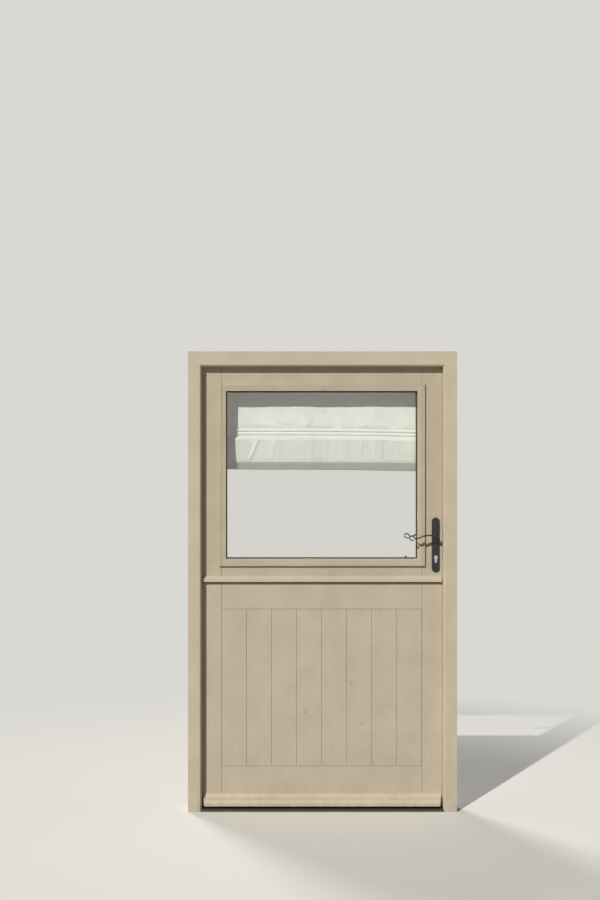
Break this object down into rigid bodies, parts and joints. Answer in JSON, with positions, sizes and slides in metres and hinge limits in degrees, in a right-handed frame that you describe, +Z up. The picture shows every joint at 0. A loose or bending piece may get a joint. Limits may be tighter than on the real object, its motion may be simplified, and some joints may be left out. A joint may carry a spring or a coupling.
{
  "type": "dutch stable door",
  "caption": "Stable door in a rebated timber frame: a glazed upper leaf and a boarded lower leaf that open separately inwards, with lever lock, tower bolts and folding blind.",
  "frame": {"origin": "floor level under the middle of the threshold, at mid depth of the frame", "axes": "+X to the right seen from outside, +Y from outside to inside, +Z up"},
  "size_m": [1.184, 0.182, 2.026],
  "materials": {
    "painted_timber": "satin stone paint",
    "bare_wood": "bare",
    "aluminium": "mill",
    "spacer": "matt",
    "seal_rubber": "matt",
    "clear_glass": "clear",
    "linen": "plain weave",
    "black_metal": "satin black",
    "nickel": "satin",
    "brass": "plain",
    "steel": "zinc plated"
  },
  "bodies": {
    "frame": {"jamb_hinge_side": "painted_timber", "jamb_lock_side": "painted_timber", "frame_head": "painted_timber", "threshold": "aluminium", "frame_seal": "seal_rubber", "lock_keep": "steel", "lower_bolt_keep": "black_metal", "hinge_frame_leaves": "steel", "hinge_pins": "steel", "frame_screws": "steel"},
    "upper_leaf": {"upper_stile_hinge_side": "painted_timber", "upper_stile_lock_side": "painted_timber", "upper_top_rail": "painted_timber", "meeting_rail": "painted_timber", "glass_outer_pane": "clear_glass", "glass_spacer": "spacer", "glass_inner_pane": "clear_glass", "bead_left": "painted_timber", "bead_right": "painted_timber", "bead_top": "painted_timber", "bead_bottom": "painted_timber", "bead_hook": "brass", "drip_bar": "painted_timber", "upper_hinge_leaves": "steel", "lock_case": "steel", "outer_backplate": "black_metal", "inner_backplate": "black_metal", "lock_cylinder": "nickel", "coupling_bolt_plate": "black_metal", "blind_headrail": "bare_wood", "blind_fabric": "linen", "upper_leaf_screws": "steel"},
    "lower_leaf": {"lower_stile_hinge_side": "painted_timber", "lower_stile_lock_side": "painted_timber", "lower_top_rail": "painted_timber", "bottom_rail": "painted_timber", "panel_core": "bare_wood", "panel_lining": "painted_timber", "weatherboard": "painted_timber", "lower_hinge_leaves": "steel", "coupling_bolt_keep": "black_metal", "lower_bolt_plate": "black_metal", "lower_leaf_seals": "seal_rubber", "lower_leaf_screws": "steel", "board_1": "painted_timber", "board_2": "painted_timber", "board_3": "painted_timber", "board_4": "painted_timber", "board_5": "painted_timber", "board_6": "painted_timber", "board_7": "painted_timber", "board_8": "painted_timber"},
    "lever": {"outer_lever": "black_metal", "inner_lever": "black_metal", "lever_spindle": "steel"},
    "latch": {"latch_bolt": "steel"},
    "dead_bolt": {"dead_bolt": "steel"},
    "plug": {"cylinder_plug": "nickel"},
    "coupling_bolt": {"coupling_bolt": "black_metal"},
    "lower_bolt": {"lower_bolt": "black_metal"}
  },
  "joints": [
    {"name": "upper_leaf_swing", "type": "hinge", "parent": "frame", "child": "upper_leaf", "pos_m": [-0.5435, 0.056, 0], "axis": [0, 0, 1], "range_deg": [0, 110]},
    {"name": "lower_leaf_swing", "type": "hinge", "parent": "frame", "child": "lower_leaf", "pos_m": [-0.5435, 0.056, 0], "axis": [0, 0, 1], "range_deg": [0, 110]},
    {"name": "lever_turn", "type": "hinge", "parent": "upper_leaf", "child": "lever", "pos_m": [0.504, 0, 1.209], "axis": [0, -1, 0], "range_deg": [0, 40], "stiffness_Nm_per_rad": 1.5, "springref_deg": -11.46},
    {"name": "latch_slide", "type": "slide", "parent": "upper_leaf", "child": "latch", "axis": [-1, 0, 0], "range_m": [0, 0.012]},
    {"name": "cylinder_turn", "type": "hinge", "parent": "upper_leaf", "child": "plug", "pos_m": [0.504, 0, 1.117], "axis": [0, 1, 0], "range_deg": [0, 360]},
    {"name": "dead_bolt_slide", "type": "slide", "parent": "upper_leaf", "child": "dead_bolt", "axis": [1, 0, 0], "range_m": [0, 0.02]},
    {"name": "coupling_bolt_slide", "type": "slide", "parent": "upper_leaf", "child": "coupling_bolt", "axis": [0, 0, -1], "range_m": [0, 0.03]},
    {"name": "lower_bolt_slide", "type": "slide", "parent": "lower_leaf", "child": "lower_bolt", "axis": [1, 0, 0], "range_m": [0, 0.03]}
  ],
  "couplings": [
    {"joint": "latch_slide", "follows": "lever_turn", "m_per_rad": 0.01718},
    {"joint": "cylinder_turn", "follows": "dead_bolt_slide", "rad_per_m": 314.15}
  ]
}
